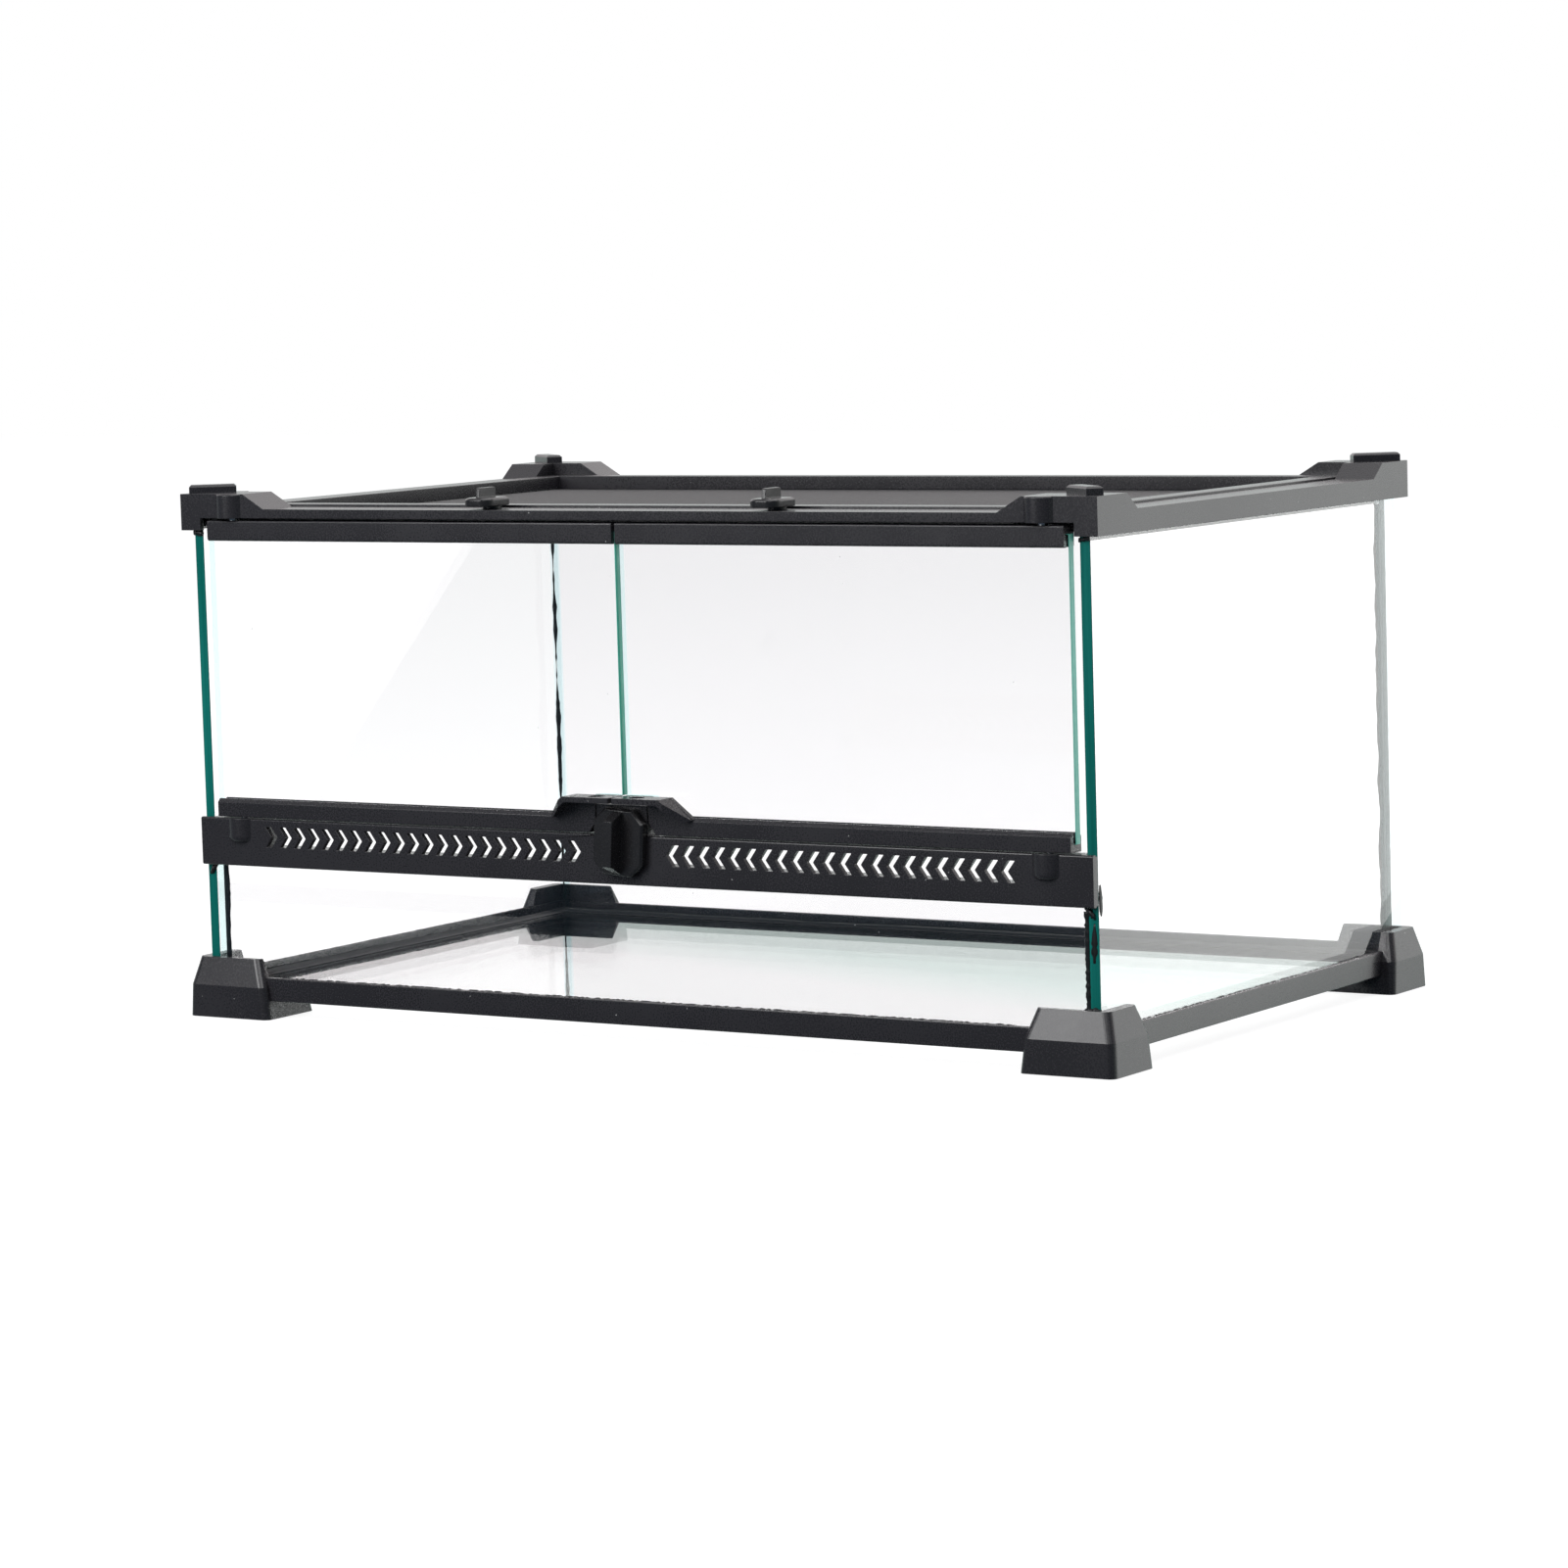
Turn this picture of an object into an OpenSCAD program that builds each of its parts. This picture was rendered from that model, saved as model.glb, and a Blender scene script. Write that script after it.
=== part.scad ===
// Front-opening reptile terrarium: a glass box in moulded frames, with two swing doors
// on pivot pins, a slotted vent rail with a turn knob, and a lift-out mesh lid.
// X runs to the right, Y to the back and Z up, and the floor is at zero.

/* [Overall size] */
// Width across the feet
body_w = 500; // [440:10:600]
// Depth across the feet
body_d = 300; // [260:10:450]
// Height from the floor to the top of the stacking ribs
body_h = 250; // [220:5:400]

/* [Glass] */
// Thickness of the side, rear and lower front panes
pane_t = 5; // [4:0.5:5]
// Thickness of the floor pane
floor_t = 4; // [3:0.5:5]
// Thickness of the door panes
door_t = 4; // [3:0.5:4]

/* [Feet] */
// Length of a foot along the front
foot_w = 47; // [40:1:60]
// Length of a foot along the side
foot_d = 36; // [30:1:50]
// Height of a foot
foot_h = 28; // [24:1:34]
// Height at which the foot starts to lean in more
foot_break = 15; // [12:1:18]

/* [Base frame] */
// Height of the underside of the base frame above the floor
base_z = 8.5; // [7:0.5:10]
// Height of the base frame's outer wall
base_h = 11; // [9:0.5:13]

/* [Top frame] */
// Height of the corner caps, from skirt to top
cap_h = 17; // [15:0.5:20]
// How far the caps stand above the rails
cap_rise = 7; // [5:0.5:8]
// Width of the side rails
side_rail_w = 20; // [18:1:24]
// Width of the rear rail
rear_rail_w = 18; // [18:1:22]
// Width of the front rail, which carries the latches
front_rail_w = 22; // [22:1:26]
// Wall thickness of the mouldings
wall = 2.5; // [2:0.1:3]
// Height of the ribs that key into the feet of a second tank
rib_h = 4; // [3:0.5:5]

/* [Vent rail] */
// Height of the underside of the vent rail
vent_z = 72; // [60:1:90]
// Height of the vent rail
vent_h = 22.5; // [21:0.5:26]
// Number of chevron slots on each side
slots = 22; // [10:1:22]
// Distance from one slot to the next
slot_pitch = 8.2; // [6:0.1:8.2]
// Width of a slot, measured along the rail
slot_w = 3.4; // [2.5:0.1:4]

/* [Doors] */
// Height of the rail along a door's top edge
door_top_h = 9.4; // [8:0.1:11]
// Height of the rail along a door's bottom edge
door_bottom_h = 8.4; // [7:0.1:9]
// Distance of a hinge axis from the middle of the tank
hinge_x = 217.5; // [214:0.5:217.5]
// Gap between the closed doors
door_gap = 1.7; // [1:0.1:3]
// Radius of the hinge pins
pin_r = 2; // [1.5:0.1:2.5]

/* [Knob] */
// Width of the knob's plate
knob_w = 26.5; // [24:0.5:27]
// Length of the knob's plate
knob_l = 30.4; // [28:0.2:31]
// Lean of the knob in the rest pose, in degrees
knob_lean = 4; // [0:1:4]

/* [Lid] */
// Number of mesh openings along the width
mesh_nx = 24; // [8:1:24]
// Number of mesh openings along the depth
mesh_ny = 12; // [4:1:12]
// Distance of the lid latches from the middle
latch_x = 77; // [60:1:120]

/* [Hidden] */

plastic = [0.15, 0.15, 0.16];
silicone = [0.06, 0.06, 0.07];
clear = [0.75, 0.92, 0.88, 0.45];
steel = [0.7, 0.7, 0.72];
$fn = 48;
eps = 0.01;

// The frames step in from the feet, and the glass from the frames.
frame_x = body_w / 2 - 4;
frame_y = body_d / 2 - 4;
glass_x = body_w / 2 - 9.5;
glass_y = body_d / 2 - 7;
base_x = glass_x + wall;
base_y = glass_y + wall;
inner_x = glass_x - pane_t;
inner_y = glass_y - pane_t;
seal_gap = 0.4;

// Levels of the base, from the floor up.
ledge_t = 2;
pane_z = base_z + ledge_t;
base_top = base_z + base_h;
floor_top = pane_z + floor_t;
ledge_w = 14;
foot_rim = 3;
foot_land = 9;

// Levels of the top frame, from the top down.
cap_top = body_h - rib_h;
rail_top = cap_top - cap_rise;
skirt_z = cap_top - cap_h;
web_t = 2.8;
web_z = rail_top - web_t;
lip_z = rail_top - 4.2;
pane_top = web_z - 0.2;
flange_z = skirt_z - 2.5;
seat_z = rail_top - 9;
seat_t = 2;
seat_w = 6;
leg_w = 11.5;
cap_flat_x = 37;
cap_slope_x = 12;
cap_flat_y = 26;
cap_slope_y = 9;
rib_l = 22;
rib_w = 8;
rib_turn = 38;
rib_inset = [11.5, 10.2];

// The vent rail and what it holds.
vent_top = vent_z + vent_h;
vent_front = -body_d / 2 + 3;
vent_x = glass_x;
web_level = vent_z + 7;
gallery_z = web_level + 2.2;
slot_h = 9.5;
slot_z = vent_top - 3.6 - slot_h;
slot_tip = 3.5;
first_slot = 23.1;
stiffener_x = first_slot + slot_tip + (slots - 1) * slot_pitch + slot_w + 1.5;
stiffener_t = 2;

// The doors hang on one axis, in the middle of their thickness.
rail_t = 9;
hinge_y = vent_front + rail_t / 2;
pin_clear = 0.05;
pin_bore = 8.5;
boss_r = 7.9;
boss_round = 0.6;
swing_r = 17.6;
door_end = hinge_x + 12.5;
door_z = vent_top + 0.5;
door_top = lip_z - 1.2;
door_glass_z = door_z + 3.5;
door_glass_top = door_top - 3.6;
tab_top = door_z + 17;
tab_t = 2.6;
tab_flat = 26;
tab_slope = 12;
shelf_reach = 9.5;
lock_hole_r = 3.6;
lock_hole_x = 10.9;
lock_hole_y = vent_front - 3.8;

// The knob turns on a lug that stands up between the doors.
knob_z = vent_top - 2.9;
knob_gap = 0.5;
knob_t = 4;
fin_t = 4.8;
fin_reach = 8;
knob_reach = knob_gap + knob_t + fin_reach - 3;
shaft_r = 3.5;
shaft_clear = 0.06;
lug_w = 27.2;
lug_depth = 9.5;
lug_h = 13.6;
washer_y = vent_front + lug_depth + 0.3;
notch_x = knob_w / 2 + 1.15;
pane_clip_x = notch_x + 15.6;

// The lid drops onto the seat in the top frame.
lid_clear = 0.5;
lid_x = frame_x - side_rail_w - lid_clear;
lid_front = -frame_y + front_rail_w + lid_clear;
lid_rear = frame_y - rear_rail_w - lid_clear;
lid_z = seat_z + seat_t + 0.3;
lid_top = rail_top + 1.1;
lid_w = 11;
mesh_z = lid_top - 6.5;
mesh_t = 0.8;
wire_w = 0.9;

// The latches turn on pads that lift them just over the lid.
latch_y = -frame_y + 15;
latch_pad = 1.2;
pad_r = 4.4;
latch_z = rail_top + latch_pad + 0.3;
latch_t = 3.8;
latch_w = 15;
latch_front = 14;
latch_rear = 5;
latch_pin_r = 2.5;
latch_fin_h = 4.5;

// Moves the tank back so that its bounding box, knob included, is centred on the origin.
module placed() translate([0, knob_reach / 2, 0]) children();
// Draws a piece made for the right-hand side on either side.
module on_side(right) mirror([right ? 0 : 1, 0, 0]) children();
module on_both() {
    children();
    mirror([1, 0, 0]) children();
}

// A box between two corners.
module box(low, high) translate(low) cube(high - low);
// A closed band between two rectangles, each [half width, front, rear].
module band(outer, inner, z0, z1) {
    translate([0, 0, z0]) linear_extrude(z1 - z0) difference() {
        translate([-outer[0], outer[1]]) square([2 * outer[0], outer[2] - outer[1]]);
        translate([-inner[0], inner[1]]) square([2 * inner[0], inner[2] - inner[1]]);
    }
}
// An outline drawn in X and Z, run from y0 to y1.
module along_y(y0, y1) translate([0, y1, 0]) rotate([90, 0, 0]) linear_extrude(y1 - y0) children();
// An outline drawn in Y and Z, run from x0 to x1.
module along_x(x0, x1) {
    translate([x0, 0, 0]) rotate([90, 0, 90]) linear_extrude(x1 - x0) children();
}
// A rectangle with one radius on every corner.
function arc(centre, r, from, steps = 6) =
    [for (i = [0:steps]) centre + r * [cos(from + 90 * i / steps), sin(from + 90 * i / steps)]];
module round_rect(w, d, r) polygon(concat(
    arc([w / 2 - r, d / 2 - r], r, 0), arc([r - w / 2, d / 2 - r], r, 90),
    arc([r - w / 2, r - d / 2], r, 180), arc([w / 2 - r, r - d / 2], r, 270)));
// A bar with chamfered top edges, sunk 1 mm into what it stands on.
module bar_end(w, h, c)
    polygon([[-w / 2, -1], [w / 2, -1], [w / 2, h - c], [w / 2 - c, h], [c - w / 2, h], [-w / 2, h - c]]);
module chamfered_bar(l, w, h, c) intersection() {
    along_y(-w / 2, w / 2) bar_end(l, h, c);
    along_x(-l / 2, l / 2) bar_end(w, h, c);
}

// Base frame: an outer wall with a ledge that the panes stand on.
module base_frame() color(plastic) {
    band([base_x, -base_y, base_y], [glass_x, -glass_y, glass_y], base_z, base_top);
    band([base_x, -base_y, base_y],
        [base_x - ledge_w, ledge_w - base_y, base_y - ledge_w], base_z, pane_z);
}

// Foot: a tapered block, hollow below, whose L wall wraps the corner of the base frame.
module foot_slab(inset_outer, inset_end, z) {
    w = foot_w - inset_outer - inset_end;
    d = foot_d - inset_outer - inset_end;
    translate([body_w / 2 - inset_outer - w / 2, body_d / 2 - inset_outer - d / 2, z])
        linear_extrude(eps) round_rect(w, d, 3.5);
}
module foot_body() {
    hull() {
        foot_slab(0, 0, 0);
        foot_slab(0.6, 2, foot_break - eps);
    }
    hull() {
        foot_slab(0.6, 2, foot_break - eps);
        foot_slab(4, 6.8, foot_h - eps);
    }
}
module foot(right, rear) color(plastic) on_side(right) mirror([0, rear ? 0 : 1, 0]) difference() {
    foot_body();
    // Seat for the base frame, and room for the glass above it.
    box([0, 0, base_z], [base_x + 0.1, base_y + 0.1, base_top + 0.1]);
    box([0, 0, base_top], [glass_x + 0.1, glass_y + 0.1, foot_h + 1]);
    // Pocket in the underside, which drops over the stacking rib of a tank below. Its inner
    // rims are wide enough to stand on the flat of that tank's cap.
    hull() {
        foot_slab(foot_rim, foot_land, -1);
        foot_slab(foot_rim + 0.4, foot_land + 1, base_z - ledge_t - eps);
    }
}

// Panes of the tank.
module floor_pane() color(clear)
    box([seal_gap - inner_x, seal_gap - inner_y, pane_z], [inner_x - seal_gap, inner_y - seal_gap, floor_top]);
module side_pane(right) color(clear) on_side(right)
    box([inner_x, -glass_y, pane_z], [glass_x, glass_y, pane_top]);
module rear_pane() color(clear)
    box([seal_gap - inner_x, inner_y, pane_z], [inner_x - seal_gap, glass_y, pane_top]);
module lower_front_pane() color(clear)
    box([seal_gap - inner_x, -glass_y, pane_z], [inner_x - seal_gap, -inner_y, web_level]);

// Silicone beads: a hollow fillet run up each glass corner and round the floor.
bead = 4;
module fillet_outline() polygon(concat([[0, 0], [bead, 0]],
    [for (i = [1:5]) [bead - bead * sin(15 * i), bead - bead * cos(15 * i)]], [[0, bead]]));
module corner_seal(right, rear, z1) color(silicone) on_side(right) mirror([0, rear ? 0 : 1, 0])
    translate([inner_x, inner_y, floor_top]) linear_extrude(z1 - floor_top)
        rotate(180) fillet_outline();
module floor_seal() color(silicone) {
    reach = 3;
    lift = 3;
    x = inner_x - bead - 0.1;
    y = inner_y - bead - 0.1;
    for (side = [0, 1]) {
        mirror([side, 0, 0]) along_y(-y, y)
            polygon([[inner_x, floor_top], [inner_x, floor_top + lift], [inner_x - reach, floor_top]]);
        mirror([0, side, 0]) along_x(-x, x)
            polygon([[inner_y, floor_top], [inner_y, floor_top + lift], [inner_y - reach, floor_top]]);
    }
}

// Top frame, corner cap: two legs with sloped shoulders, given by their outline.
module leg_outline(flat_l, slope_l, z0, t) {
    polygon([[-t, z0], [-t, cap_top - t], [-flat_l, cap_top - t],
        [-flat_l - slope_l + t * 0.4, rail_top - t], [-flat_l - slope_l + t * 0.4, z0]]);
}
module cap(right, rear, t, z0) on_side(right) mirror([0, rear ? 0 : 1, 0]) {
    depth = rear ? rear_rail_w : front_rail_w;
    translate([frame_x, 0, 0]) along_y(frame_y - depth + t, frame_y - t)
        leg_outline(cap_flat_x, cap_slope_x, z0, t);
    translate([0, frame_y, 0]) along_x(frame_x - side_rail_w + t, frame_x - t)
        leg_outline(cap_flat_y, cap_slope_y, z0, t);
}
module top_shell() difference() {
    union() {
        band([frame_x, -frame_y, frame_y],
            [frame_x - side_rail_w, -frame_y + front_rail_w, frame_y - rear_rail_w], web_z, rail_top);
        band([frame_x, -frame_y, frame_y], [frame_x - wall, -frame_y + wall, frame_y - wall],
            lip_z, rail_top);
        // Below the lip the wall stops at the legs that cover the pane edges.
        difference() {
            band([frame_x, -frame_y, frame_y], [frame_x - wall, -frame_y + wall, frame_y - wall],
                skirt_z, rail_top);
            box([leg_w - frame_x, -body_d, 0], [frame_x - leg_w, 0, lip_z]);
        }
        for (right = [false, true]) for (rear = [false, true]) cap(right, rear, 0, web_z);
    }
    for (right = [false, true]) for (rear = [false, true]) cap(right, rear, wall, skirt_z);
}
module stacking_ribs() for (right = [false, true]) for (rear = [0, 1])
    on_side(right) mirror([0, 1 - rear, 0])
        translate([frame_x - rib_inset[0], frame_y - rib_inset[1], cap_top]) rotate(rib_turn)
            chamfered_bar(rib_l, rib_w, rib_h, 1);
module top_frame() color(plastic) difference() {
    union() {
        top_shell();
        stacking_ribs();
        // Inner wall behind the side and rear panes.
        difference() {
            band([inner_x - 0.2, -inner_y + 0.4, inner_y - 0.2],
                [inner_x - 2.2, -inner_y + 2.4, inner_y - 2.2], flange_z, web_z + 1);
            // The doors' outboard ends swing through here.
            on_both() translate([hinge_x, hinge_y, 0]) cylinder(r = swing_r, h = body_h);
        }
        // Seat for the lid.
        band([frame_x - side_rail_w + wall, -frame_y + front_rail_w - wall, frame_y - rear_rail_w + wall],
            [frame_x - side_rail_w, -frame_y + front_rail_w, frame_y - rear_rail_w], seat_z, rail_top);
        band([frame_x - side_rail_w + wall, -frame_y + front_rail_w - wall, frame_y - rear_rail_w + wall],
            [frame_x - side_rail_w - seat_w, -frame_y + front_rail_w + seat_w,
                frame_y - rear_rail_w - seat_w], seat_z, seat_z + seat_t);
        on_both() {
            // Hinge boss on the front cap.
            translate([hinge_x, hinge_y, lip_z]) cylinder(r = boss_r, h = cap_top - boss_round - lip_z);
            translate([hinge_x, hinge_y, cap_top - boss_round])
                cylinder(r1 = boss_r, r2 = boss_r - boss_round, h = boss_round);
            // Pad under the latch.
            translate([latch_x, latch_y, web_z]) cylinder(r = pad_r, h = web_t + latch_pad);
        }
    }
    on_both() {
        translate([hinge_x, hinge_y, lip_z - 1]) cylinder(r = pin_r + pin_clear, h = pin_bore);
        translate([latch_x, latch_y, seat_z]) cylinder(r = latch_pin_r + pin_clear, h = cap_h);
    }
}

// Vent rail: a slotted front wall with a glass channel below and a door ledge above.
module chevron() polygon([[0, slot_h / 2], [slot_w, slot_h / 2], [slot_w - slot_tip, 0],
    [slot_w, -slot_h / 2], [0, -slot_h / 2], [-slot_tip, 0]]);
module hinge_cup() {
    translate([hinge_x, hinge_y, 0]) rotate_extrude() polygon(concat([[0, vent_top], [0, vent_top - 11.4]],
        [for (i = [0:5]) [boss_r - 3 + 3 * sin(18 * i), vent_top - 8.4 - 3 * cos(18 * i)]],
        [[boss_r, vent_top]]));
}
module vent_rail() color(plastic) difference() {
    union() {
        // Front wall, with a chamfer along its top and bottom edges.
        along_x(-vent_x, vent_x) polygon([[vent_front + 0.6, vent_z], [vent_front + wall, vent_z],
            [vent_front + wall, vent_top], [vent_front + 0.6, vent_top], [vent_front, vent_top - 0.6],
            [vent_front, vent_z + 0.6]]);
        // Door ledge, glass channel and the channel's rear wall.
        box([-inner_x + 0.2, vent_front + 0.6, vent_top - wall],
            [inner_x - 0.2, vent_front + lug_depth, vent_top]);
        box([-inner_x + 0.2, vent_front + 1, web_level + 0.2], [inner_x - 0.2, -inner_y + 2.6, gallery_z]);
        box([-inner_x + bead + 0.4, -inner_y + 0.2, vent_z], [inner_x - bead - 0.4, -inner_y + 2.6, gallery_z]);
        // Webs that stiffen the ledge between the slot groups and the cups.
        on_both() box([stiffener_x, vent_front + 1, gallery_z - 1],
            [stiffener_x + stiffener_t, -inner_y + 2.6, vent_top - 1]);
        // End pads that are bonded to the front edges of the side panes.
        on_both() box([inner_x - 1, vent_front + 1, vent_z + 0.6], [vent_x, -glass_y, vent_top - 0.6]);
        on_both() hinge_cup();
        // Lug for the knob, which stands between the doors.
        box([-lug_w / 2, vent_front, gallery_z - 1], [lug_w / 2, vent_front + lug_depth, vent_top + lug_h]);
    }
    for (s = [-1, 1]) for (i = [0:slots - 1])
        along_y(vent_front - 1, vent_front + wall + 0.5) mirror([s < 0 ? 1 : 0, 0])
            translate([first_slot + slot_tip + i * slot_pitch, slot_z + slot_h / 2]) chevron();
    on_both() translate([hinge_x, hinge_y, vent_top - pin_bore])
        cylinder(r = pin_r + pin_clear, h = 2 * pin_bore);
    translate([0, vent_front - 1, knob_z]) rotate([-90, 0, 0])
        cylinder(r = shaft_r + shaft_clear, h = 2 * lug_depth);
}

// Door pane, with its lower inner corner cut off clear of the knob, behind the handle tab.
module door_pane(right) color(clear) on_side(right)
    along_y(hinge_y - door_t / 2, hinge_y + door_t / 2)
        polygon([[door_gap / 2, tab_top], [notch_x + 1, tab_top], [pane_clip_x, door_glass_z],
            [door_end + 1.2, door_glass_z], [door_end + 1.2, door_glass_top], [door_gap / 2, door_glass_top]]);
module door_rail_outline(z0, z1, flip) {
    c = 1.6;
    top = flip ? 0.4 : c;
    low = flip ? 0.8 : 0.3;
    polygon([[vent_front + low, z0], [vent_front + rail_t - low, z0], [vent_front + rail_t, z0 + low],
        [vent_front + rail_t, z1 - top], [vent_front + rail_t - top, z1], [vent_front + top, z1],
        [vent_front, z1 - top], [vent_front, z0 + low]]);
}
module pin_seat() translate([hinge_x, hinge_y, 0]) cylinder(r = pin_r, h = body_h);
module door_top_rail(right) color(plastic) on_side(right) difference() {
    along_x(door_gap / 2, door_end) door_rail_outline(door_top - door_top_h, door_top, true);
    door_pane(true);
    intersection() {
        pin_seat();
        box([0, -body_d, door_glass_top + 0.4], [body_w, 0, body_h]);
    }
}
// Bottom rail with the handle tab in front of the glass, whose shelf hangs over the knob.
module door_bottom_rail(right) color(plastic) on_side(right) difference() {
    union() {
        along_x(notch_x, door_end) door_rail_outline(door_z, door_z + door_bottom_h, false);
        along_y(vent_front, vent_front + (rail_t - door_t) / 2)
            polygon([[notch_x, door_z + 2], [notch_x, tab_top - tab_t],
                [door_gap / 2, tab_top - tab_t], [door_gap / 2, tab_top], [tab_flat, tab_top],
                [tab_flat + tab_slope, door_z + door_bottom_h - 0.5], [tab_flat + tab_slope, door_z + 2]]);
        // Shelf and sloping rim: full reach at the middle, fading out at the rail.
        intersection() {
            along_y(-body_d, vent_front + 1) polygon([[door_gap / 2, tab_top - tab_t],
                [door_gap / 2, tab_top], [tab_flat, tab_top], [tab_flat + tab_slope, door_z + door_bottom_h - 1],
                [tab_flat + tab_slope - 2.6, door_z + door_bottom_h - 2], [tab_flat - 1.2, tab_top - tab_t]]);
            translate([0, vent_front, 0]) linear_extrude(body_h) polygon([[0, 1], [0, 1.2 - shelf_reach],
                [1.2, -shelf_reach], [tab_flat + 2, -shelf_reach], [tab_flat + tab_slope, -1],
                [tab_flat + tab_slope, 1]]);
        }
    }
    door_pane(true);
    // Sloped end, which lets the door swing past the knob.
    along_y(-body_d, 0) polygon([[notch_x - 1, door_z - 1], [notch_x + 4.4, door_z - 1],
        [notch_x - 1, door_z + 6.6]]);
    intersection() {
        pin_seat();
        box([0, -body_d, 0], [body_w, 0, door_z + 3.2]);
    }
    translate([lock_hole_x, lock_hole_y, door_z]) cylinder(r = lock_hole_r, h = 30);
}
// Steel pins: one up into the cap's boss and one down into the rail's cup.
module door_pins(right) color(steel) on_side(right) translate([hinge_x, hinge_y, 0]) {
    translate([0, 0, door_glass_top + 0.4]) cylinder(r = pin_r, h = lip_z + 7 - door_glass_top - 0.4);
    translate([0, 0, vent_top - 7.8]) cylinder(r = pin_r, h = 11.5);
}

// Knob: an eight-sided plate with a grip fin in front and a shaft behind.
module knob_outline(inset) {
    w = knob_w / 2 - inset;
    l = knob_l / 2 - inset;
    c = 5.9 - inset * 0.6;
    polygon([[w - c, l], [w, l - c], [w, c - l], [w - c, -l], [c - w, -l], [-w, c - l], [-w, l - c], [c - w, l]]);
}
module lock_knob() color(plastic) translate([0, vent_front - knob_gap, knob_z]) rotate([0, knob_lean, 0]) {
    rotate([90, 0, 0]) {
        hull() {
            linear_extrude(knob_t - 1) knob_outline(0);
            linear_extrude(knob_t) knob_outline(1);
        }
        translate([0, 0, vent_front - knob_gap - washer_y])
            cylinder(r = shaft_r, h = washer_y - vent_front + 1);
    }
    along_x(-fin_t / 2, fin_t / 2) polygon([[-knob_t + 1, knob_l / 2 - 1.5], [-knob_t, knob_l / 2 - 1.2],
        [-knob_t - fin_reach, knob_l / 2 - 5], [-knob_t - fin_reach, 5 - knob_l / 2],
        [-knob_t, 1.2 - knob_l / 2], [1 - knob_t, 1.5 - knob_l / 2]]);
}
// Washer and screw that hold the knob to the lug from inside the tank.
module knob_washer() color(steel) translate([0, washer_y, knob_z]) rotate([-90, 0, 0]) difference() {
    cylinder(r = 6, h = 1);
    translate([0, 0, -1]) cylinder(r = 1.5, h = 3);
}
module knob_screw() color(steel) translate([0, washer_y, knob_z]) rotate([-90, 0, 0]) {
    cylinder(r = 1.5, h = 1.5);
    translate([0, 0, 1]) difference() {
        cylinder(r1 = 3, r2 = 2.2, h = 1.8);
        translate([-0.35, -1.6, 1]) cube([0.7, 3.2, 2]);
        translate([-1.6, -0.35, 1]) cube([3.2, 0.7, 2]);
    }
}

// Lid latch: a flat tongue with a round nose, a grip fin on top and a pivot pin below.
module latch_outline(inset) {
    w = latch_w / 2 - inset;
    nose = 5.5 - inset * 0.5;
    polygon(concat(arc([w - nose, nose - latch_front + inset], nose, 270),
        [[w, latch_rear - inset - 2], [w - 2, latch_rear - inset], [2 - w, latch_rear - inset],
            [-w, latch_rear - inset - 2]],
        arc([nose - w, nose - latch_front + inset], nose, 180)));
}
module lid_latch(right) color(plastic) on_side(right) translate([latch_x, latch_y, latch_z]) {
    hull() {
        linear_extrude(latch_t - 0.9) latch_outline(0);
        linear_extrude(latch_t) latch_outline(1);
    }
    translate([0, -4.5, 0]) along_x(-1.1, 1.1) polygon([[-6.5, latch_t - 1], [-6, latch_t + latch_fin_h - 0.6],
        [-5.2, latch_t + latch_fin_h], [5.2, latch_t + latch_fin_h], [6, latch_t + latch_fin_h - 0.6],
        [6.5, latch_t - 1]]);
    translate([0, 0, -web_t - latch_pad - 2.4]) cylinder(r = latch_pin_r, h = web_t + latch_pad + 3);
}
// Push-on ring that holds a latch's pin under the rail.
module latch_clip(right) color(steel) on_side(right) translate([latch_x, latch_y, web_z - 1.2]) difference() {
    cylinder(r = 4, h = 0.8);
    translate([0, 0, -1]) cylinder(r = latch_pin_r, h = 3);
}

// Lid: an angle-section frame that hangs the mesh below its top flange.
module lid_frame() color(plastic) {
    t = 2;
    outer = [lid_x, lid_front, lid_rear];
    inner = [lid_x - lid_w, lid_front + lid_w, lid_rear - lid_w];
    band(outer, [lid_x - t, lid_front + t, lid_rear - t], lid_z, lid_top);
    band(outer, inner, lid_top - t, lid_top);
    band([inner[0] + t, inner[1] - t, inner[2] + t], inner, mesh_z, lid_top);
    band([inner[0] + t, inner[1] - t, inner[2] + t], inner, lid_z, mesh_z - mesh_t);
    // Corner posts and ribs tie the lower strip that clamps the mesh to the frame.
    for (sx = [-1, 1]) for (i = [-4:4])
        box([min(sx * lid_x, sx * (inner[0] + t)), (lid_front + lid_rear) / 2 + i * 26 - 0.8, lid_z],
            [max(sx * lid_x, sx * (inner[0] + t)), (lid_front + lid_rear) / 2 + i * 26 + 0.8, lid_top - 1]);
    for (i = [-7:7]) {
        box([i * 29 - 0.8, lid_front, lid_z], [i * 29 + 0.8, inner[1] - t, lid_top - 1]);
        box([i * 29 - 0.8, inner[2] + t, lid_z], [i * 29 + 0.8, lid_rear, lid_top - 1]);
    }
}
// Mesh: a flat wire net, its rim held in the slot of the lid frame.
module lid_mesh() color(steel) translate([0, 0, mesh_z - mesh_t]) {
    x = lid_x - lid_w;
    y0 = lid_front + lid_w;
    y1 = lid_rear - lid_w;
    linear_extrude(mesh_t) difference() {
        translate([-x - 2, y0 - 2]) square([2 * x + 4, y1 - y0 + 4]);
        for (i = [0:mesh_nx - 1]) for (j = [0:mesh_ny - 1])
            translate([-x + i * (2 * x + wire_w) / mesh_nx, y0 + j * (y1 - y0 + wire_w) / mesh_ny])
                square([(2 * x + wire_w) / mesh_nx - wire_w, (y1 - y0 + wire_w) / mesh_ny - wire_w]);
    }
}

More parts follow.
